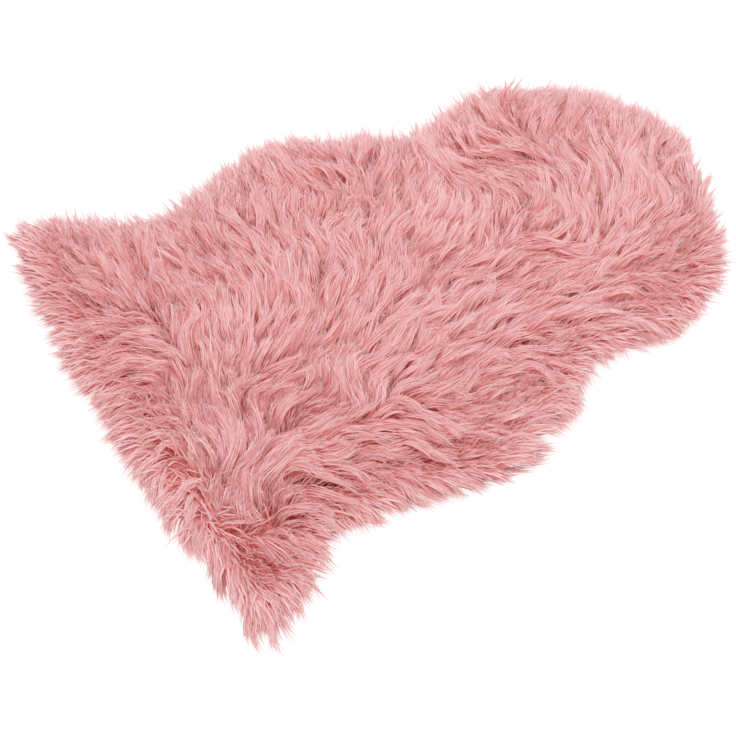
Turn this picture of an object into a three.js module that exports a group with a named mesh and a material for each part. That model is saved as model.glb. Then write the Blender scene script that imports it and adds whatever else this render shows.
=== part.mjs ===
// Faux fur rug cut to the outline of a sheepskin: a straight rump edge between two leg corners,
// a hollow at each flank, a full belly, a waist, and a broad round neck lobe.
// The body is the space that the long pile fills. It is flat underneath, tufted at the rim,
// domed over the edge and uneven on top. Millimetres, +X from the rump to the neck, +Z up.
// The origin is in the middle of the outline's box, on the face that lies on the floor.
import * as THREE from 'three';
import { ImprovedNoise } from 'three/addons/math/ImprovedNoise.js';

// ---- driving dimensions -------------------------------------------------------------------
const RUG_LENGTH = 905; // rump to neck, over the tips of the pile
const RUG_WIDTH = 718; // leg corner to leg corner, over the tips of the pile
const PILE_CREST = 40; // mean height of the pile in the middle
const RIM_HEIGHT = 7; // height of the tips where the pile falls to the floor
const RIM_ROUND = 80; // how far in from the rim the pile reaches its full height

const MOUND = { height: 5, pitch: 120, layer: 0.5 }; // broad swells of the pile
const LOCK = { height: 4, pitch: 38, layer: 7.5 }; // the locks that the pile parts into
const TUFT = { height: 8, pitch: 34, layer: 3.5 }; // locks that stand out of the rim

const CELLS = 48; // squares along each side of the grid that becomes the top
const CELL_GRADING = 0.35; // 0 keeps the squares even, 1 crowds them at the rim
const RIM_STEPS = 1536; // points along the rim before the grid's border picks its own

// The pelt's outline over the pile, with the rump at -X. The far side is +Y, the near side -Y.
const OUTLINE = [
  { at: 'neck', x: 448, y: 0 },
  { at: 'neck, far side', x: 388, y: 136 },
  { at: 'cheek, far side', x: 270, y: 222 },
  { at: 'waist, far side', x: 150, y: 207 },
  { at: 'shoulder, far side', x: 56, y: 240 },
  { at: 'belly, far side', x: -55, y: 288 },
  { at: 'flank, far side', x: -236, y: 260 },
  { at: 'thigh, far side', x: -330, y: 294 },
  { at: 'leg, far side', x: -418, y: 344 },
  { at: 'heel, far side', x: -434, y: 260 },
  { at: 'rump, far side', x: -450, y: 150 },
  { at: 'rump', x: -450, y: 0 },
  { at: 'rump, near side', x: -444, y: -150 },
  { at: 'heel, near side', x: -430, y: -280 },
  { at: 'leg, near side', x: -410, y: -368 },
  { at: 'thigh, near side', x: -330, y: -308 },
  { at: 'flank, near side', x: -225, y: -282 },
  { at: 'belly, near side', x: -66, y: -320 },
  { at: 'shoulder, near side', x: 42, y: -288 },
  { at: 'waist, near side', x: 124, y: -240 },
  { at: 'cheek, near side', x: 252, y: -254 },
  { at: 'neck, near side', x: 398, y: -158 },
];
const HEART = new THREE.Vector2(-120, 0); // a straight line from here reaches any point of the rim

// ---- outline ------------------------------------------------------------------------------
const noise = new ImprovedNoise();

// An unevenness of a given height, with its swells about one pitch apart.
function uneven({ height, pitch, layer }, x, y) {
  return 1.6 * height * noise.noise(x / pitch, y / pitch, layer);
}

// The rim as a closed run of points. Each tuft stands straight out from the heart, so that
// none hides another from it.
function rimPoints() {
  const landmarks = OUTLINE.map(({ x, y }) => new THREE.Vector3(x, y, 0));
  const curve = new THREE.CatmullRomCurve3(landmarks, true, 'centripetal');
  curve.arcLengthDivisions = RIM_STEPS;
  const rim = [];
  for (let i = 0; i < RIM_STEPS; i++) {
    const p = curve.getPointAt(i / RIM_STEPS);
    const spoke = new THREE.Vector2(p.x, p.y).sub(HEART);
    spoke.setLength(spoke.length() + uneven(TUFT, p.x, p.y));
    rim.push(spoke.add(HEART));
  }
  return rim;
}

// Moves and sizes plan points so that their box has the rug's length and width about the origin.
function fitted(points) {
  const box = new THREE.Box2().setFromPoints(points);
  const middle = box.getCenter(new THREE.Vector2());
  const size = box.getSize(new THREE.Vector2());
  const scale = new THREE.Vector2(RUG_LENGTH / size.x, RUG_WIDTH / size.y);
  return points.map((p) => p.clone().sub(middle).multiply(scale));
}

// ---- grid ---------------------------------------------------------------------------------
// The top is a square grid, drawn out first to a disc and then to the rim.
const at = (i, j) => i * (CELLS + 1) + j;
const onBorder = (i, j) => i % CELLS === 0 || j % CELLS === 0;

// A step from 0 to CELLS as a place from -1 to 1, with narrower squares at both ends.
function graded(step) {
  const t = (2 * step) / CELLS - 1;
  return (1 - CELL_GRADING) * t + CELL_GRADING * Math.sin((t * Math.PI) / 2);
}

// The plan point of every grid point.
function gridPlan(rim) {
  const plan = [];
  for (let i = 0; i <= CELLS; i++) {
    for (let j = 0; j <= CELLS; j++) {
      const [u, v] = [graded(i), graded(j)];
      const disc = new THREE.Vector2(u * Math.sqrt(1 - v * v / 2), v * Math.sqrt(1 - u * u / 2));
      const step = Math.floor((disc.angle() / (2 * Math.PI)) * RIM_STEPS) % RIM_STEPS;
      plan.push(HEART.clone().lerp(rim[step], disc.length()));
    }
  }
  return plan;
}

// The grid's border points, anticlockwise from one corner.
function borderIndices() {
  const border = [];
  for (let i = 0; i < CELLS; i++) border.push(at(i, 0));
  for (let j = 0; j < CELLS; j++) border.push(at(CELLS, j));
  for (let i = CELLS; i > 0; i--) border.push(at(i, CELLS));
  for (let j = CELLS; j > 0; j--) border.push(at(0, j));
  return border;
}

// Height of the pile at a plan point that lies `inside` millimetres from the rim.
function pileHeight({ x, y }, inside) {
  const rise = Math.min(inside / RIM_ROUND, 1);
  const dome = Math.sqrt(1 - (1 - rise) ** 2);
  const crest = PILE_CREST + uneven(MOUND, x, y) + uneven(LOCK, x, y);
  return RIM_HEIGHT + (crest - RIM_HEIGHT) * dome;
}

// ---- body ---------------------------------------------------------------------------------
// Twice the area of a triangle seen from above, below zero if it is turned over.
function turnOf(a, b, c) {
  return (b.x - a.x) * (c.y - a.y) - (c.x - a.x) * (b.y - a.y);
}

// Two triangles for each square of the grid, split along the diagonal that keeps both fuller.
function topFaces(plan) {
  const faces = [];
  for (let i = 0; i < CELLS; i++) {
    for (let j = 0; j < CELLS; j++) {
      const [a, b, c, d] = [at(i, j), at(i + 1, j), at(i + 1, j + 1), at(i, j + 1)];
      const [A, B, C, D] = [plan[a], plan[b], plan[c], plan[d]];
      const splitAC = Math.min(turnOf(A, B, C), turnOf(A, C, D));
      const splitBD = Math.min(turnOf(A, B, D), turnOf(B, C, D));
      if (splitAC > splitBD) faces.push(a, b, c, a, c, d);
      else faces.push(a, b, d, b, c, d);
    }
  }
  return faces;
}

// The closed body: the domed top, a low wall round the rim, and a flat underside.
function peltGeometry() {
  const rim = rimPoints();
  const plan = fitted(gridPlan(rim));
  const border = borderIndices();
  const edge = border.map((index) => plan[index]);
  const nearestEdge = (p) => Math.min(...edge.map((q) => q.distanceTo(p)));

  const points = plan.map((p, index) => {
    const [i, j] = [Math.floor(index / (CELLS + 1)), index % (CELLS + 1)];
    return new THREE.Vector3(p.x, p.y, pileHeight(p, onBorder(i, j) ? 0 : nearestEdge(p)));
  });
  const faces = topFaces(plan);

  const foot = points.length;
  edge.forEach((p) => points.push(new THREE.Vector3(p.x, p.y, 0)));
  const centre = points.push(new THREE.Vector3(HEART.x, HEART.y, 0)) - 1;
  border.forEach((high, k) => {
    const next = (k + 1) % border.length;
    faces.push(high, foot + k, foot + next, high, foot + next, border[next]);
    faces.push(centre, foot + next, foot + k);
  });

  const geometry = new THREE.BufferGeometry().setFromPoints(points);
  geometry.setIndex(faces);
  geometry.computeVertexNormals();
  return geometry;
}

const pinkPile = new THREE.MeshStandardMaterial({ color: '#dd9d9d', roughness: 0.9, metalness: 0 });

const rug = new THREE.Group();
const pelt = new THREE.Mesh(peltGeometry(), pinkPile);
pelt.name = 'fur_rug';
rug.add(pelt);

export default rug;
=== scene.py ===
"""A pink faux fur rug cut like a sheepskin and lying flat: its knitted backing, and the long pile that stands
on it in locks. Each lock follows the way the pile is combed, rises, arches over and falls, and its strands
draw together towards its point. Lengths are metres unless they are said to be millimetres."""
import math

import bpy
import numpy as np
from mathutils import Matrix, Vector


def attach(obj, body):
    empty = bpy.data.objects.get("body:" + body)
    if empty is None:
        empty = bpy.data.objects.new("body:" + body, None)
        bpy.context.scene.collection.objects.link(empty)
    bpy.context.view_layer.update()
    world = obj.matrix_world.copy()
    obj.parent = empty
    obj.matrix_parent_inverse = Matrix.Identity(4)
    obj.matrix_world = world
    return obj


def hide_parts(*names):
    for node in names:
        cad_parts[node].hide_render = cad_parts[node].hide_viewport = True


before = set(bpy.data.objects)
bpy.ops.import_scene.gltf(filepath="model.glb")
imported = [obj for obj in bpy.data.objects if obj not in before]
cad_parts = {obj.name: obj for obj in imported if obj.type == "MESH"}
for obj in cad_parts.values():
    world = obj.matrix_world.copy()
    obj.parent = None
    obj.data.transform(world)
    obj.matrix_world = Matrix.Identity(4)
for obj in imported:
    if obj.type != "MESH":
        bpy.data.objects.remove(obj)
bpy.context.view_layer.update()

MM = 0.001
RUG = "fur_rug"
rng = np.random.default_rng(20)

# ---- driving sizes -------------------------------------------------------------------------------
HEART = np.array([-120.0, 0.0]) * MM  # a straight line from here reaches any point of the rim
HEM_INSET = 38 * MM  # how far the outline of the pile reaches past the edge of the cloth, along a spoke
HEM_CLEAR = 27 * MM  # and the least that it does straight across, as along the sides of a leg
CLOTH_HEM = 6 * MM  # width of the strip of faces round the cloth's edge
CLOTH_THICKNESS = 2 * MM
CLOTH_LIFT = 0.3 * MM
ROOT_HEIGHT = CLOTH_LIFT + CLOTH_THICKNESS * 0.8  # strands start a little way down in the cloth
FLOOR_CLEAR = 1.2 * MM  # the lowest that a strand hangs

LOCK_PITCH = 12.15 * MM
LOCK_JITTER = 0.38  # how far a lock strays from its honeycomb place, as a share of the pitch
EDGE_PITCH = 0.55 * LOCK_PITCH  # locks stand closer along the edge of the cloth
EDGE_BAND = 12 * MM  # and within this far of it
RIM_FALL = 70 * MM  # how far in from the edge of the cloth the locks start to lie down
WISPS = 6  # wisps in a lock
STRANDS = 5  # strands in a wisp
STRAND_SHARES = np.array([0, 0.26, 0.42, 0.6, 0.8, 1.0])  # where a strand has its corners
STRAND_TAPER = np.interp(STRAND_SHARES[:-1], [0, 0.3, 0.7, 1], [0.75, 1.0, 0.8, 0.1])
STRAND_WIDTH = 1.65 * MM
PILE_LENGTH = 80 * MM
TRIM_MARGIN, TRIM_SPREAD = 5 * MM, 4 * MM  # how far past the outline a lock is cut, and how unevenly
CREST = 45 * MM  # strands that rise past this are pressed down
CREST_GIVE = 6 * MM  # to no more than this above it

UNDER_PITCH = 3.7 * MM
UNDER_SHARES = np.array([0, 0.55, 1.0])
UNDER_TAPER = np.array([0.9, 1.0])
UNDER_WIDTH = 3.2 * MM
UNDER_LENGTH = 35 * MM
UNDER_CHART_SHARE = 0.45  # how far up the colour chart a short strand reaches at its tip, next to a long one: it keeps the painted shade of the lower part
UNDER_RIM_FALL = 26 * MM  # and the short pile
WILD_SHARE = 0.06  # strands that stray far from their lock
TONES = 24  # rows of the pile's colour chart, from the deepest strand to the palest
PIECES = ["pile_rump", "pile_haunch", "pile_belly", "pile_shoulder", "pile_neck"]
BATCH = 4000  # points that are measured against a line at one time

# How the pile is combed. Each row is a place on the rug, the way that the tips point there, and how far
# around it the stroke is felt: 0 degrees is towards the neck, 90 towards the far side, 180 towards the rump.
COMB = [
    # place, x mm, y mm, heading in degrees, reach mm
    ("far leg, tip", -420, 310, 115, 55),
    ("far leg, inner side", -350, 260, 82, 55),
    ("far leg, rump side", -430, 240, 156, 55),
    ("far thigh", -300, 220, 82, 55),
    ("far flank", -230, 180, 108, 50),
    ("rump, far end", -420, 150, 178, 55),
    ("rump, far end, inner side", -350, 180, 107, 55),
    ("rump, far half", -420, 50, 198, 50),
    ("rump, far half, inner side", -355, 85, 144, 42),
    ("rump, middle", -420, -20, 176, 45),
    ("rump, middle, inner side", -340, -20, 75, 50),
    ("rump, near half", -430, -65, 222, 40),
    ("rump, near end", -430, -110, 236, 35),
    ("whorl, rump side", -405, -145, 208, 30),
    ("whorl, middle", -380, -158, 35, 26),
    ("whorl, far side", -350, -100, 64, 40),
    ("whorl, inner side", -305, -145, 0, 35),
    ("whorl, near side", -345, -185, 84, 28),
    ("near leg, rump side, top", -425, -190, 268, 30),
    ("near leg, rump side", -430, -240, 248, 30),
    ("near leg, rump side, low", -425, -300, 260, 35),
    ("near leg, tip", -400, -350, 264, 35),
    ("near leg, inner side, top", -380, -235, 272, 26),
    ("near leg, inner side", -368, -268, 312, 30),
    ("near leg, inner side, low", -378, -315, 266, 28),
    ("near leg, neck side", -332, -255, 286, 32),
    ("near thigh, rising", -315, -188, 54, 26),
    ("near thigh", -285, -195, 350, 36),
    ("near thigh, low", -290, -240, 316, 34),
    ("near flank", -240, -225, 290, 45),
    ("flank, low", -280, -85, 75, 28),
    ("flank, near the middle", -250, -42, 354, 32),
    ("flank, past the middle", -250, 60, 68, 50),
    ("flank, towards the rump", -305, 75, 38, 30),
    ("back, far side", -150, 100, 75, 55),
    ("back", -130, 0, 33, 55),
    ("belly, far side", -105, 200, 60, 45),
    ("belly, far rim", -55, 212, 112, 35),
    ("belly, near side", -205, -155, 350, 42),
    ("belly whorl, rump side", -150, -125, 84, 28),
    ("belly whorl, far side", -112, -108, 5, 26),
    ("belly whorl, neck side", -85, -140, 348, 26),
    ("belly whorl, near side", -130, -200, 300, 32),
    ("belly, near rim", -100, -245, 318, 42),
    ("belly, near rim, neck side", -45, -250, 352, 34),
    ("loin, towards the rump", -78, 68, 88, 34),
    ("loin, far side", 0, 60, 28, 50),
    ("loin, near side", 0, -80, 20, 55),
    ("shoulder, far side", 50, 150, 52, 55),
    ("shoulder, near side", 50, -180, 338, 50),
    ("shoulder, near rim", 100, -230, 262, 46),
    ("withers", 95, 40, 40, 50),
    ("withers, near side", 95, -60, 352, 50),
    ("waist, far side", 120, 180, 74, 45),
    ("waist, near side", 130, -150, 356, 55),
    ("nape, towards the shoulder", 142, 112, 140, 30),
    ("nape, far side", 190, 90, 145, 42),
    ("nape", 210, 0, 50, 50),
    ("nape, near side", 152, -55, 320, 30),
    ("nape, neck side", 268, 60, 112, 36),
    ("cheek, far rim", 210, 180, 88, 45),
    ("neck, far rim", 285, 195, 5, 32),
    ("neck, far side", 325, 120, 40, 50),
    ("neck, tip", 420, 60, 56, 55),
    ("neck", 330, -10, 66, 50),
    ("neck, near side", 380, -60, 55, 50),
    ("cheek, near side", 300, -110, 16, 48),
    ("cheek, low", 310, -160, 330, 40),
    ("cheek, near rim", 262, -212, 280, 46),
]

# How much further the tips hang past the outline than they do elsewhere, by the direction from the heart.
HANG = [
    # place, direction in degrees, mm
    ("neck, tip", 3, 4),
    ("neck, far side", 28, 0),
    ("waist, far side", 42, -9),
    ("shoulder, far side", 54, -5),
    ("belly, far side", 66, 5),
    ("far flank", 106, 6),
    ("far leg, inner side", 121, -15),
    ("far leg, tip", 134, 9),
    ("far leg, rump side", 143, 0),
    ("rump, far end", 155, 5),
    ("rump, near end", 190, -4),
    ("near leg, top", 205, 5),
    ("near leg, rump side", 221, 9),
    ("near leg, tip", 228, 9),
    ("near leg, tip, neck side", 233, -20),
    ("near leg, inner side", 238, -12),
    ("near flank", 243, 4),
    ("belly, near side", 262, 6),
    ("belly, near rim", 280, 9),
    ("shoulder, near side", 292, -2),
    ("waist, near side", 318, -6),
    ("cheek, near side", 334, -7),
    ("cheek, low", 345, 1),
    ("neck, near side", 354, -6),
]


# ---- camera --------------------------------------------------------------------------------------
def make_camera():
    """Looks down on the rug from its near side, a little to the left of the rump."""
    azimuth, elevation, distance = math.radians(-31), math.radians(56), 1.985
    aim = Vector((-0.125, -0.078, 0.0))
    level = math.cos(elevation)
    back = Vector((math.sin(azimuth) * level, -math.cos(azimuth) * level, math.sin(elevation)))
    turn = back.to_track_quat("Z", "Y").to_euler()
    bpy.ops.object.camera_add(location=aim + distance * back, rotation=turn)
    camera = bpy.context.object
    camera.data.angle = math.radians(26)
    camera.data.clip_end = 20
    bpy.context.scene.camera = camera


# ---- small sums ----------------------------------------------------------------------------------
def smooth(low, high, value):
    """0 below low, 1 above high, with a soft rise between."""
    t = np.clip((value - low) / (high - low), 0, 1)
    return t * t * (3 - 2 * t)


def unit(vectors):
    return vectors / np.maximum(np.linalg.norm(vectors, axis=-1, keepdims=True), 1e-9)


def make_swell(pitch, waves=24):
    """A smooth unevenness of about -1 to 1, with its swells about one pitch apart."""
    turn = rng.uniform(0, 2 * math.pi, waves)
    number = 2 * math.pi / (pitch * rng.uniform(1.2, 2.6, waves))
    wave = np.stack([np.cos(turn), np.sin(turn)], axis=1) * number[:, None]
    phase = rng.uniform(0, 2 * math.pi, waves)
    return lambda points: np.sin(points @ wave.T + phase).sum(axis=-1) * math.sqrt(2 / waves) / 1.6


# ---- outline -------------------------------------------------------------------------------------
def rug_outline():
    """The outline of the pile on the floor, anticlockwise, from the underside of the CAD solid."""
    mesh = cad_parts[RUG].data
    points = np.empty(len(mesh.vertices) * 3)
    mesh.vertices.foreach_get("co", points)
    points = points.reshape(-1, 3)
    low = np.unique(points[points[:, 2] < 0.1 * MM][:, :2].round(5), axis=0)
    spokes = low - HEART
    rim = spokes[np.linalg.norm(spokes, axis=1) > 10 * MM]
    return rim[np.argsort(np.arctan2(rim[:, 1], rim[:, 0]))] + HEART


def from_line(points, line):
    """Each point's distance from a closed line, and the unit vector from it to the nearest place there."""
    start, along = line, np.roll(line, -1, axis=0) - line
    length2 = (along**2).sum(axis=1)
    distance = np.empty(len(points))
    away = np.empty((len(points), 2))
    for i in range(0, len(points), BATCH):
        p = points[i : i + BATCH, None, :]
        t = np.clip(((p - start) * along).sum(axis=2) / length2, 0, 1)
        gap = start + t[..., None] * along - p
        far = np.linalg.norm(gap, axis=2)
        nearest = far.argmin(axis=1)
        row = np.arange(len(nearest))
        distance[i : i + BATCH] = far[row, nearest]
        away[i : i + BATCH] = gap[row, nearest] / np.maximum(far[row, nearest], 1e-9)[:, None]
    return distance, away


def bearing(points):
    """The direction from the heart to each point, in radians."""
    spokes = points - HEART
    return np.arctan2(spokes[:, 1], spokes[:, 0])


def spoke_length(points, line):
    """How far from the heart a closed line is, in the direction of each point."""
    reach = np.linalg.norm(line - HEART, axis=1)
    return np.interp(bearing(points), bearing(line), reach, period=2 * math.pi)


def inside(points, line):
    """Whether each point lies within a closed line that every spoke from the heart crosses once."""
    return np.linalg.norm(points - HEART, axis=1) < spoke_length(points, line)


def even_out(values, reach):
    """Values around a closed line, each the mean of itself and of its neighbours up to reach steps away."""
    return sum(np.roll(values, step) for step in range(-reach, reach + 1)) / (2 * reach + 1)


def hang(points):
    """How much further past the outline than elsewhere the pile reaches at each point."""
    directions = [direction for _, direction, _ in HANG]
    lengths = [length * MM for _, _, length in HANG]
    return np.interp(np.degrees(bearing(points)) % 360, directions, lengths, period=360)


def inset_outline(line, inset):
    """The line drawn in along its spokes by the inset, then on until it clears the line all round."""
    spokes = unit(line - HEART)
    reach = even_out(np.linalg.norm(line - HEART, axis=1), 1) - inset
    for _ in range(40):
        distance, _ = from_line(HEART + spokes * reach[:, None], line)
        reach = reach - np.maximum(HEM_CLEAR - hang(line) - distance, 0)
    return HEART + spokes * even_out(reach, 2)[:, None]


OUTLINE = rug_outline()
HEM = inset_outline(OUTLINE, HEM_INSET - hang(OUTLINE))


def past_hem(points):
    """How far the outline is past the edge of the cloth along each point's spoke from the heart."""
    return spoke_length(points, OUTLINE) - spoke_length(points, HEM)


# ---- the way the pile is combed ------------------------------------------------------------------
SWIRL, SWIRL_TURN = make_swell(75 * MM), np.radians(14)  # broad and small waverings of the comb
RIPPLE, RIPPLE_TURN = make_swell(32 * MM), np.radians(9)
RIM_COMB = 60 * MM  # this near the rim the pile is drawn outwards


def combed(points):
    """The unit vector along which the pile runs over each point, and how far the strokes agree there."""
    places = np.array([(x, y) for _, x, y, _, _ in COMB]) * MM
    headings = np.radians([heading for *_, heading, _ in COMB])
    reach = np.array([reach for *_, reach in COMB]) * MM
    strokes = np.stack([np.cos(headings), np.sin(headings)], axis=1)
    gap2 = ((points[:, None, :] - places) ** 2).sum(axis=2) / reach**2
    weight = np.exp(-gap2) + 1e-4 / (1 + gap2)
    run = (weight[..., None] * strokes).sum(axis=1) / weight.sum(axis=1)[:, None]
    agree = np.linalg.norm(run, axis=1)  # 1 where the strokes around run together, 0 where they oppose
    run = unit(run)
    distance, outward = from_line(points, OUTLINE)
    outward = np.where(inside(points, OUTLINE)[:, None], outward, -outward) + unit(points - HEART)
    outward = unit(outward)
    near_rim = 1 - smooth(0, RIM_COMB, distance)
    run = unit(run + 0.35 * near_rim[:, None] * outward)
    turn = SWIRL_TURN * SWIRL(points) + RIPPLE_TURN * RIPPLE(points)
    turn = turn * (1 - 0.7 * near_rim)
    return turned(run, turn), agree


def turned(vectors, angle):
    """Level vectors turned about the upright by each angle."""
    cos, sin = np.cos(angle), np.sin(angle)
    x, y = vectors[..., 0], vectors[..., 1]
    return np.stack([x * cos - y * sin, x * sin + y * cos], axis=-1)


# ---- locks ---------------------------------------------------------------------------------------
GUIDE_STEPS = 24
SHORTEST = 0.4  # the least of a lock that a trim leaves


def lock_roots():
    """Where the locks grow: a jittered honeycomb over the cloth, and a closer row along its edge."""
    low, high = HEM.min(axis=0) - LOCK_PITCH, HEM.max(axis=0) + LOCK_PITCH
    rows = np.arange(low[1], high[1], LOCK_PITCH * math.sqrt(3) / 2)
    columns = np.arange(low[0], high[0], LOCK_PITCH)
    x, y = np.meshgrid(columns, rows)
    x[1::2] += LOCK_PITCH / 2
    roots = np.stack([x.ravel(), y.ravel()], axis=1)
    roots += rng.uniform(-LOCK_JITTER, LOCK_JITTER, roots.shape) * LOCK_PITCH
    roots = roots[inside(roots, HEM)]
    closed = np.vstack([HEM, HEM[:1]])
    steps = np.concatenate([[0], np.linalg.norm(np.diff(closed, axis=0), axis=1).cumsum()])
    places = np.arange(0, steps[-1], EDGE_PITCH)
    edge = np.stack([np.interp(places, steps, closed[:, k]) for k in (0, 1)], axis=1)
    _, outward = from_line(edge, OUTLINE)
    edge = edge - outward * rng.uniform(0, EDGE_BAND, (len(edge), 1))
    return roots, edge


def parted(agree):
    """1 in a parting, where the strokes of the comb oppose each other, and 0 where they run together."""
    return 1 - smooth(0.35, 0.8, agree)


def draw_habits(roots, edge):
    """How each lock grows: its bends, its slopes at the root and at the tip, and where it arches over.
    Locks near the edge lie flatter, and there and in a parting they waver less."""
    count = len(roots)
    parting = parted(combed(roots)[1])
    calm = (1 - 0.6 * np.clip(edge, 0, 1)) * (1 - 0.4 * parting)
    return {
        "parting": parting,
        "bend": np.radians(rng.normal(0, 11, count)) * calm,
        "curl": np.radians(rng.normal(0, 26, count)) * calm,
        "sway": np.radians(rng.uniform(4, 16, count)),
        "phase": rng.uniform(0, 2 * math.pi, count),
        "rise": np.radians(rng.normal(76, 6, count) - 36 * edge),
        "fall": np.radians(rng.normal(-5, 9, count) - 24 * edge + 4 * parting),
        "over": rng.uniform(0.45, 0.75, count),
    }


def guide(roots, length, habits):
    """A lock's middle line: points from root to tip, integrated along the comb, rising and then falling."""
    at = np.column_stack([roots, np.full(len(roots), ROOT_HEIGHT)])
    low = FLOOR_CLEAR + 2 * MM
    points = [at]
    for step in range(GUIDE_STEPS):
        t = (step + 0.5) / GUIDE_STEPS
        turn = habits["bend"] + habits["curl"] * smooth(0.5, 1.0, t)
        turn = turn + habits["sway"] * np.sin(2 * math.pi * 0.8 * t + habits["phase"])
        level = turned(combed(at[:, :2])[0], turn)
        slope = habits["rise"] + (habits["fall"] - habits["rise"]) * smooth(0.05, 1, t / habits["over"])
        move = np.column_stack([level * np.cos(slope)[:, None], np.sin(slope)])
        at = at + move * (length / GUIDE_STEPS)[:, None]
        sunk = at[:, 2] < low
        at[sunk, 2] = low + 0.15 * (at[sunk, 2] - low)
        points.append(at)
    return np.stack(points, axis=1)


def along(guides, share):
    """Points on each guide at a share of its length; share has a row for each guide."""
    place = np.clip(share, 0, 1) * GUIDE_STEPS
    index = np.minimum(place.astype(int), GUIDE_STEPS - 1)
    part = (place - index)[..., None]
    row = np.arange(len(guides))[:, None]
    return guides[row, index] * (1 - part) + guides[row, index + 1] * part


def disc(count, radius):
    """Random level offsets, even over a disc."""
    angle = rng.uniform(0, 2 * math.pi, count)
    distance = radius * np.sqrt(rng.uniform(0, 1, count))
    return np.stack([np.cos(angle), np.sin(angle)], axis=1) * distance[:, None]


def trimmed(guides, margin):
    """The share of each lock that is left when it is cut where it passes the outline by its margin, but
    never less than the shortest."""
    count, steps = guides.shape[:2]
    flat = guides[..., :2].reshape(-1, 2)
    distance, _ = from_line(flat, OUTLINE)
    past = np.where(inside(flat, OUTLINE), -distance, distance).reshape(count, steps)
    over = past > margin[:, None]
    first = np.where(over.any(axis=1), over.argmax(axis=1), steps - 1)
    return np.maximum(first / (steps - 1), SHORTEST)


def grow(guides, trim, edge, wisps, strands, shares):
    """Strands of every lock as points from root to tip, and the lock that each belongs to."""
    locks = len(guides)
    count = locks * wisps * strands
    lock = np.repeat(np.arange(locks), wisps * strands)
    wisp = np.repeat(np.arange(locks * wisps), strands)
    t = shares[None, :]
    wisp_root = disc(locks * wisps, 0.6 * LOCK_PITCH)[wisp]
    wisp_spread = disc(locks * wisps, 7 * MM)[wisp]
    wisp_length = rng.uniform(0.86, 1.0, locks * wisps)[wisp]
    wisp_lift = rng.normal(0, 1.5 * MM, locks * wisps)[wisp]
    root = disc(count, 0.30 * LOCK_PITCH)
    stray = disc(count, 5 * MM)
    wild = rng.uniform(0, 1, count) < WILD_SHARE
    stray[wild] *= 2.4
    length = wisp_length * rng.uniform(0.72, 1.02, count) * trim[lock]
    lift = wisp_lift + rng.normal(0, 1.2 * MM, count) + wild * rng.uniform(0, 4 * MM, count)
    lift = lift + rng.normal(0, 1.3 * MM, locks)[lock]
    share = t * length[:, None]
    points = along(guides[lock], share)
    gather = smooth(0.05, 0.95, share)[..., None]
    drawn = 0.28 + 0.3 * np.clip(edge, 0, 1)[lock][:, None, None]
    twist = rng.normal(0, 0.5, locks)[lock][:, None] * share
    together = wisp_root[:, None, :] * (1 - drawn * gather) + root[:, None, :] * (1 - 0.5 * gather)
    level = turned(together, twist)
    level = level + (wisp_spread[:, None, :] + stray[:, None, :]) * share[..., None] ** 2
    frizz = rng.normal(0, 0.45 * MM, (count, 2))[:, None, :]
    waves = rng.uniform(0.8, 1.6, count)[:, None] * t + rng.uniform(0, 1, count)[:, None]
    frizz = frizz * np.sin(2 * math.pi * waves)[..., None]
    points[..., :2] += level + frizz * smooth(0, 0.4, share)[..., None]
    points[..., 2] += lift[:, None] * share
    high = np.maximum(points[..., 2] - CREST, 0)
    points[..., 2] -= high * (1 - 1 / (1 + high / CREST_GIVE))
    points[..., 2] = np.maximum(points[..., 2], FLOOR_CLEAR + 0.4 * MM * rng.uniform(0, 1, count)[:, None])
    return points, lock


# ---- ribbons -------------------------------------------------------------------------------------
def ribbons(points, width, taper, roll):
    """Flat tapered strips along the points: their corners, with two at each step and one at the tip, and the
    way that each corner faces, turned out a little at the sides as on a round fibre."""
    run = unit(np.gradient(points, axis=1))
    level = run[..., :2]
    level = np.where(np.linalg.norm(level, axis=2, keepdims=True) < 1e-3, [1.0, 0.0], level)
    across = unit(np.stack([-level[..., 1], level[..., 0], np.zeros(level.shape[:2])], axis=2))
    upward = np.cross(run, across)
    cos, sin = np.cos(roll)[:, None, None], np.sin(roll)[:, None, None]
    across, upward = across * cos + upward * sin, upward * cos - across * sin
    half = across[:, :-1] * (0.5 * width[:, None] * taper[None, :])[..., None]
    sides = np.stack([points[:, :-1] - half, points[:, :-1] + half], axis=2)
    count, steps = points.shape[0], points.shape[1] - 1
    corners = np.concatenate([sides.reshape(count, steps * 2, 3), points[:, -1:]], axis=1)
    round_sides = np.stack([upward - 0.3 * across, upward + 0.3 * across], axis=2)[:, :-1]
    facing = np.concatenate([round_sides.reshape(count, steps * 2, 3), upward[:, -1:]], axis=1)
    return corners, unit(facing)


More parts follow.
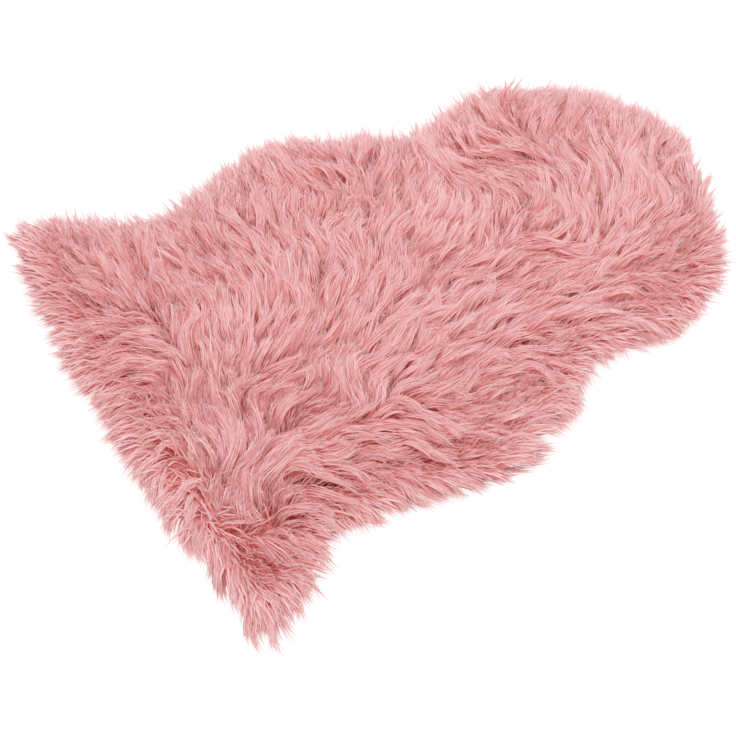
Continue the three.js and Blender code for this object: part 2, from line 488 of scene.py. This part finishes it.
def ribbon_mesh(name, kinds):
    """One mesh of many ribbons. Each kind of strand holds corners and the way they face, each strand's tone,
    how pale it starts, and the shares of its length at which its corners stand."""
    corners, facings, faces, totals, maps, start = [], [], [], [], [], 0
    for kind in kinds:
        count, per = kind["corners"].shape[:2]
        steps = (per - 1) // 2
        base = start + np.arange(count)[:, None] * per
        low = np.arange(steps - 1) * 2
        quads = (base[..., None] + np.stack([low, low + 2, low + 3, low + 1], axis=1)[None]).reshape(-1)
        tips = (base + np.array([per - 3, per - 1, per - 2])).reshape(-1)
        corners.append(kind["corners"].reshape(-1, 3))
        facings.append(kind["facing"].reshape(-1, 3))
        faces += [quads, tips]
        totals += [np.full(count * (steps - 1), 4), np.full(count, 3)]
        u = np.concatenate([np.repeat(kind["shares"][:-1], 2), [1.0]])
        # across the strand, where its sides take the painted shade of a round fibre
        side = np.concatenate([np.tile([0.1, 0.9], steps), [0.5]])
        row = np.clip(kind["tone"] * TONES, 0, TONES - 1).astype(int)
        v = (row[:, None] + side[None, :]) / TONES
        # a pale strand starts further along the chart, so it carries less of the painted root shade
        pale = kind["pale"][:, None]
        u = 0.01 + 0.98 * (pale + (1 - pale) * u)
        uv = np.stack([u, v], axis=2).reshape(-1, 2)
        maps += [uv[quads - start], uv[tips - start]]
        start += count * per
    corners, facings, faces, totals, maps = (
        np.concatenate(x) for x in (corners, facings, faces, totals, maps)
    )
    mesh = bpy.data.meshes.new(name)
    mesh.vertices.add(len(corners))
    mesh.vertices.foreach_set("co", corners.ravel())
    mesh.loops.add(len(faces))
    mesh.loops.foreach_set("vertex_index", faces)
    mesh.polygons.add(len(totals))
    mesh.polygons.foreach_set("loop_start", np.concatenate([[0], totals.cumsum()[:-1]]))
    mesh.polygons.foreach_set("loop_total", totals)
    mesh.uv_layers.new(name="OFBake").data.foreach_set("uv", maps.ravel())
    mesh.update(calc_edges=True)
    mesh.validate()
    mesh.polygons.foreach_set("use_smooth", np.ones(len(totals), dtype=bool))
    mesh.normals_split_custom_set_from_vertices(facings)
    piece = bpy.data.objects.new(name, mesh)
    bpy.context.collection.objects.link(piece)
    return piece


# ---- materials -----------------------------------------------------------------------------------
def srgb(r, g, b):
    """A colour written as 0 to 255 for each of red, green and blue, as Blender's linear one."""
    shares = (r / 255, g / 255, b / 255)
    channels = [c / 12.92 if c <= 0.04045 else ((c + 0.055) / 1.055) ** 2.4 for c in shares]
    return (*channels, 1.0)


def new_material(name):
    material = bpy.data.materials.new(name)
    material.use_nodes = True
    return material, material.node_tree.nodes, material.node_tree.links


def add_ramp(nodes, stops):
    ramp = nodes.new("ShaderNodeValToRGB")
    while len(ramp.color_ramp.elements) < len(stops):
        ramp.color_ramp.elements.new(0.5)
    for element, (place, colour) in zip(ramp.color_ramp.elements, stops):
        element.position, element.color = place, srgb(*colour)
    return ramp


def add_sum(nodes, links, operation, *inputs):
    """A Math node; each input is a number or another node's output."""
    node = nodes.new("ShaderNodeMath")
    node.operation = operation
    for socket, value in zip(node.inputs, inputs):
        if isinstance(value, bpy.types.NodeSocket):
            links.new(value, socket)
        else:
            socket.default_value = value
    return node.outputs[0]


def multiply_colours(nodes, links, first, second):
    mix = nodes.new("ShaderNodeMix")
    mix.data_type, mix.blend_type = "RGBA", "MULTIPLY"
    mix.inputs["Factor"].default_value = 1.0
    links.new(first, mix.inputs["A"])
    links.new(second, mix.inputs["B"])
    return mix.outputs["Result"]


def pile_material():
    """Dyed acrylic fibre in pink, each strand a tone apart, with painted shade of the pile's depth: deep
    coral at the roots, paling to pale pink at the tips. The UV map is a colour chart: root to tip across it,
    and a row for each tone, in which the middle of the strand is light and its sides are deeper, painted
    shade of a round fibre. Most of a lamp's light soaks through to the strands behind."""
    material, nodes, links = new_material("pile fibre")
    shader = nodes["Principled BSDF"]
    uv = nodes.new("ShaderNodeUVMap")
    uv.uv_map = "OFBake"
    split = nodes.new("ShaderNodeSeparateXYZ")
    links.new(uv.outputs["UV"], split.inputs[0])
    # painted shade of the pile's depth: deep coral at the root, paling to pale pink at the tip
    depth_shade_ramp = add_ramp(
        nodes,
        [
            (0.0, (236, 156, 145)),
            (0.3, (231, 167, 162)),
            (0.55, (230, 186, 186)),
            (0.8, (231, 200, 201)),
            (1.0, (231, 211, 211)),
        ],
    )
    links.new(split.outputs["X"], depth_shade_ramp.inputs[0])
    row = add_sum(nodes, links, "MULTIPLY", split.outputs["Y"], TONES)
    tone_share = add_sum(nodes, links, "DIVIDE", add_sum(nodes, links, "FLOOR", row), TONES)
    tone = add_ramp(nodes, [(0.0, (233, 180, 178)), (0.45, (246, 232, 233)), (1.0, (255, 255, 255))])
    links.new(tone_share, tone.inputs[0])
    # painted shade of a round fibre: each strand is light in its middle and deeper at its sides
    middle = add_sum(nodes, links, "SUBTRACT", add_sum(nodes, links, "FRACT", row), 0.5)
    side = add_sum(nodes, links, "MULTIPLY", add_sum(nodes, links, "ABSOLUTE", middle), 2.0)
    shade = add_ramp(nodes, [(0.0, (255, 255, 255)), (0.45, (253, 247, 247)), (0.8, (234, 184, 187))])
    links.new(side, shade.inputs[0])
    colour = multiply_colours(nodes, links, depth_shade_ramp.outputs[0], tone.outputs[0])
    colour = multiply_colours(nodes, links, colour, shade.outputs[0])
    links.new(colour, shader.inputs["Base Color"])
    shader.inputs["Roughness"].default_value = 0.55
    shader.inputs["Specular IOR Level"].default_value = 0.3
    shader.inputs["Sheen Weight"].default_value = 0.24
    shader.inputs["Sheen Roughness"].default_value = 0.45
    shader.inputs["Sheen Tint"].default_value = srgb(255, 226, 224)
    soaked = nodes.new("ShaderNodeBsdfTransparent")
    soaked.inputs["Color"].default_value = srgb(238, 187, 178)
    path = nodes.new("ShaderNodeLightPath")
    mix = nodes.new("ShaderNodeMixShader")
    links.new(path.outputs["Is Shadow Ray"], mix.inputs[0])
    links.new(shader.outputs[0], mix.inputs[1])
    links.new(soaked.outputs[0], mix.inputs[2])
    links.new(mix.outputs[0], nodes["Material Output"].inputs["Surface"])
    return material


def cloth_material():
    """The knitted ground of the pile: rows of small loops, a little uneven in colour."""
    material, nodes, links = new_material("knitted backing")
    shader = nodes["Principled BSDF"]
    place = nodes.new("ShaderNodeTexCoord")
    centre = nodes.new("ShaderNodeMapping")
    centre.inputs["Rotation"].default_value = (0, 0, math.radians(2))
    links.new(place.outputs["Object"], centre.inputs["Vector"])
    rows = nodes.new("ShaderNodeTexWave")
    rows.inputs["Scale"].default_value = 120
    rows.inputs["Distortion"].default_value = 0.6
    links.new(centre.outputs[0], rows.inputs["Vector"])
    loops = nodes.new("ShaderNodeTexWave")
    loops.bands_direction = "Y"
    loops.inputs["Scale"].default_value = 150
    loops.inputs["Distortion"].default_value = 0.6
    links.new(centre.outputs[0], loops.inputs["Vector"])
    both = add_sum(nodes, links, "MULTIPLY", rows.outputs["Fac"], loops.outputs["Fac"])
    colour = add_ramp(nodes, [(0.0, (206, 146, 142)), (1.0, (232, 182, 178))])
    links.new(both, colour.inputs[0])
    links.new(colour.outputs[0], shader.inputs["Base Color"])
    bump = nodes.new("ShaderNodeBump")
    bump.inputs["Strength"].default_value = 0.5
    bump.inputs["Distance"].default_value = 0.4 * MM
    links.new(both, bump.inputs["Height"])
    links.new(bump.outputs[0], shader.inputs["Normal"])
    shader.inputs["Roughness"].default_value = 0.85
    return material


# ---- backing -------------------------------------------------------------------------------------
def make_backing():
    """The cloth that the pile is knitted into, cut to the pelt's outline, lying on the floor."""
    bpy.ops.object.select_all(action="DESELECT")
    bpy.ops.mesh.primitive_circle_add(vertices=len(HEM), radius=1, fill_type="NGON")
    cloth = bpy.context.object
    cloth.name = cloth.data.name = "backing"
    for vertex, (x, y) in zip(cloth.data.vertices, HEM):
        vertex.co = (x, y, CLOTH_LIFT)
    bpy.ops.object.mode_set(mode="EDIT")
    bpy.ops.mesh.select_all(action="SELECT")
    bpy.ops.mesh.inset(thickness=CLOTH_HEM)
    bpy.ops.mesh.select_all(action="SELECT")
    bpy.ops.mesh.extrude_region_move(TRANSFORM_OT_translate={"value": (0, 0, CLOTH_THICKNESS)})
    bpy.ops.mesh.select_all(action="SELECT")
    bpy.ops.mesh.normals_make_consistent(inside=False)
    bpy.ops.mesh.quads_convert_to_tris()
    bpy.ops.object.mode_set(mode="OBJECT")
    cloth.data.materials.append(cloth_material())
    return cloth


# ---- pile ----------------------------------------------------------------------------------------
PATCH = make_swell(95 * MM)


def grow_long_pile():
    """The long strands: each one's place along the rug, its corners, tone and paleness."""
    field, border = lock_roots()
    roots = np.vstack([field, border])
    edge = 1 - smooth(0, RIM_FALL, from_line(roots, HEM)[0])
    edge[len(field) :] += rng.uniform(0.0, 0.7, len(border))
    near_edge = np.clip(edge, 0, 1)
    count = len(roots)
    length = PILE_LENGTH * rng.uniform(0.86, 1.08, count) * (1 - 0.10 * near_edge)
    length = length * (1 + 0.08 * PATCH(roots))
    length = length * (1 + 0.4 * near_edge * np.clip(past_hem(roots) / HEM_INSET - 1, 0, 1))
    habits = draw_habits(roots, edge)
    margin = rng.normal(TRIM_MARGIN, TRIM_SPREAD, count) + hang(roots)
    length = length * trimmed(guide(roots, length, habits), margin)
    guides = guide(roots, length, habits)
    points, lock = grow(guides, trimmed(guides, margin), edge, WISPS, STRANDS, STRAND_SHARES)
    strands = len(points)
    width = STRAND_WIDTH * rng.uniform(0.6, 1.25, strands) * (1 - 0.2 * near_edge[lock])
    corners, facing = ribbons(points, width, STRAND_TAPER, np.radians(rng.uniform(-25, 25, strands)))
    # painted light: locks are paler towards the neck, where the light falls brighter; they are also paler
    # near the edge, and their tone wanders at random
    neck_light_share = (roots[:, 0] - HEART[0]) / 0.5
    lock_tone = 0.56 + 0.12 * PATCH(roots) + 0.17 * neck_light_share + 0.25 * near_edge**2
    lock_tone += rng.normal(0, 0.05, count)
    return {
        "place": roots[lock, 0],
        "corners": corners,
        "facing": facing,
        "tone": lock_tone[lock] + rng.normal(0, 0.33, strands),
        # near the edge and in a parting the strands carry less of the painted root shade, so partings read
        # lighter
        "pale": (0.6 * near_edge**1.5 + 0.2 * habits["parting"])[lock],
        "shares": STRAND_SHARES,
    }


def grow_short_pile():
    """The short dense pile between the locks, which leans out over the edge and lies flatter in a parting."""
    low, high = HEM.min(axis=0), HEM.max(axis=0)
    x, y = np.meshgrid(*(np.arange(low[k], high[k], UNDER_PITCH) for k in (0, 1)))
    roots = np.stack([x.ravel(), y.ravel()], axis=1)
    roots += rng.uniform(-0.5, 0.5, roots.shape) * UNDER_PITCH
    roots = roots[inside(roots, HEM)]
    count = len(roots)
    edge = 1 - smooth(0, UNDER_RIM_FALL, from_line(roots, HEM)[0])
    run, agree = combed(roots)
    parting = parted(agree)
    length = UNDER_LENGTH * rng.uniform(0.7, 1.15, count) * (1 + 0.35 * edge + 0.2 * parting)
    level = turned(run, np.radians(rng.normal(0, 28, count)) * (1 - 0.6 * edge) * (1 + 1.4 * parting))
    points = [np.column_stack([roots, np.full(count, ROOT_HEIGHT)])]
    for slope, lean, step in zip((74, 48), (44, 50), np.diff(UNDER_SHARES)):
        slope = np.radians(slope - np.maximum(lean * edge, 26 * parting) + rng.normal(0, 8, count))
        move = np.column_stack([level * np.cos(slope)[:, None], np.sin(slope)])
        points.append(points[-1] + move * (length * step)[:, None])
    points = np.stack(points, axis=1)
    points[..., 2] = np.maximum(points[..., 2], FLOOR_CLEAR)
    tone = 0.5 + rng.normal(0, 0.2, count) + 0.2 * edge
    roll = np.radians(rng.uniform(-35, 35, count))
    width = UNDER_WIDTH * rng.uniform(0.7, 1.2, count)
    corners, facing = ribbons(points, width, UNDER_TAPER, roll)
    return {
        "place": points[:, 0, 0],
        "corners": corners,
        "facing": facing,
        "tone": tone,
        # the short pile carries the deep end of the chart, painted shade of the depth it stands in, and less
        # of it at the edge and in a parting
        "pale": np.maximum(0.7 * edge, 0.15 * parting),
        "shares": UNDER_CHART_SHARE * UNDER_SHARES,
    }


def shared_out(kind):
    """Strands of one kind in as many even groups as there are pieces, from the rump to the neck."""
    groups = np.array_split(np.argsort(kind["place"], kind="stable"), len(PIECES))
    every = ("corners", "facing", "tone", "pale")
    return [{key: kind[key][group] for key in every} | {"shares": kind["shares"]} for group in groups]


def make_pile():
    """All the strands, shared out by place over pieces along the rug."""
    long_pile, short_pile = grow_long_pile(), grow_short_pile()
    material = pile_material()
    pieces = []
    for name, *kinds in zip(PIECES, shared_out(long_pile), shared_out(short_pile)):
        piece = ribbon_mesh(name, kinds)
        piece.data.materials.append(material)
        pieces.append(piece)
    return pieces


# ---- floor and light -----------------------------------------------------------------------------
def seen_share(nodes, links):
    """1 where a surface is looked at, straight or in a gloss or through glass, and 0 where it only
    sends light."""
    path = nodes.new("ShaderNodeLightPath")
    seen = add_sum(nodes, links, "MAXIMUM", path.outputs["Is Camera Ray"], path.outputs["Is Glossy Ray"])
    return add_sum(nodes, links, "MAXIMUM", seen, path.outputs["Is Transmission Ray"])


def make_floor():
    """A plain white floor that keeps a faint shadow of the rug."""
    bpy.ops.object.select_all(action="DESELECT")
    bpy.ops.mesh.primitive_plane_add(size=30)
    floor = bpy.context.object
    floor.name = "floor"
    material, nodes, links = new_material("white floor")
    shader = nodes["Principled BSDF"]
    shader.inputs["Base Color"].default_value = (0.95, 0.95, 0.95, 1)
    shader.inputs["Roughness"].default_value = 0.9
    shader.inputs["Specular IOR Level"].default_value = 0.0
    white = nodes.new("ShaderNodeEmission")
    share = add_sum(nodes, links, "MULTIPLY", seen_share(nodes, links), 0.85)
    mix = nodes.new("ShaderNodeMixShader")
    links.new(share, mix.inputs[0])
    links.new(shader.outputs[0], mix.inputs[1])
    links.new(white.outputs[0], mix.inputs[2])
    links.new(mix.outputs[0], nodes["Material Output"].inputs["Surface"])
    floor.data.materials.append(material)


def make_light():
    """A bright white room, and one broad lamp high on the far side that shapes the locks."""
    world = bpy.data.worlds.new("white room")
    bpy.context.scene.world = world
    world.use_nodes = True
    nodes, links = world.node_tree.nodes, world.node_tree.links
    room = nodes["Background"]
    room.inputs["Color"].default_value = (1, 1, 1, 1)
    room.inputs["Strength"].default_value = 0.62
    white = nodes.new("ShaderNodeBackground")
    white.inputs["Color"].default_value = (1, 1, 1, 1)
    white.inputs["Strength"].default_value = 1.0
    mix = nodes.new("ShaderNodeMixShader")
    links.new(seen_share(nodes, links), mix.inputs[0])
    links.new(room.outputs[0], mix.inputs[1])
    links.new(white.outputs[0], mix.inputs[2])
    links.new(mix.outputs[0], nodes["World Output"].inputs["Surface"])
    place = Vector((0.1, 0.1, 2.3))
    bpy.ops.object.light_add(type="AREA", location=place)
    lamp = bpy.context.object
    lamp.data.size = 2.6
    lamp.data.energy = 49.5
    lamp.rotation_euler = place.to_track_quat("Z", "Y").to_euler()
    bpy.context.scene.view_settings.view_transform = "Standard"


def main():
    make_camera()
    backing = make_backing()
    pile = make_pile()
    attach(backing, "root")
    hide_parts(RUG)
    for piece in pile:
        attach(piece, "root")
        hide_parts(RUG)
    make_floor()
    make_light()


main()
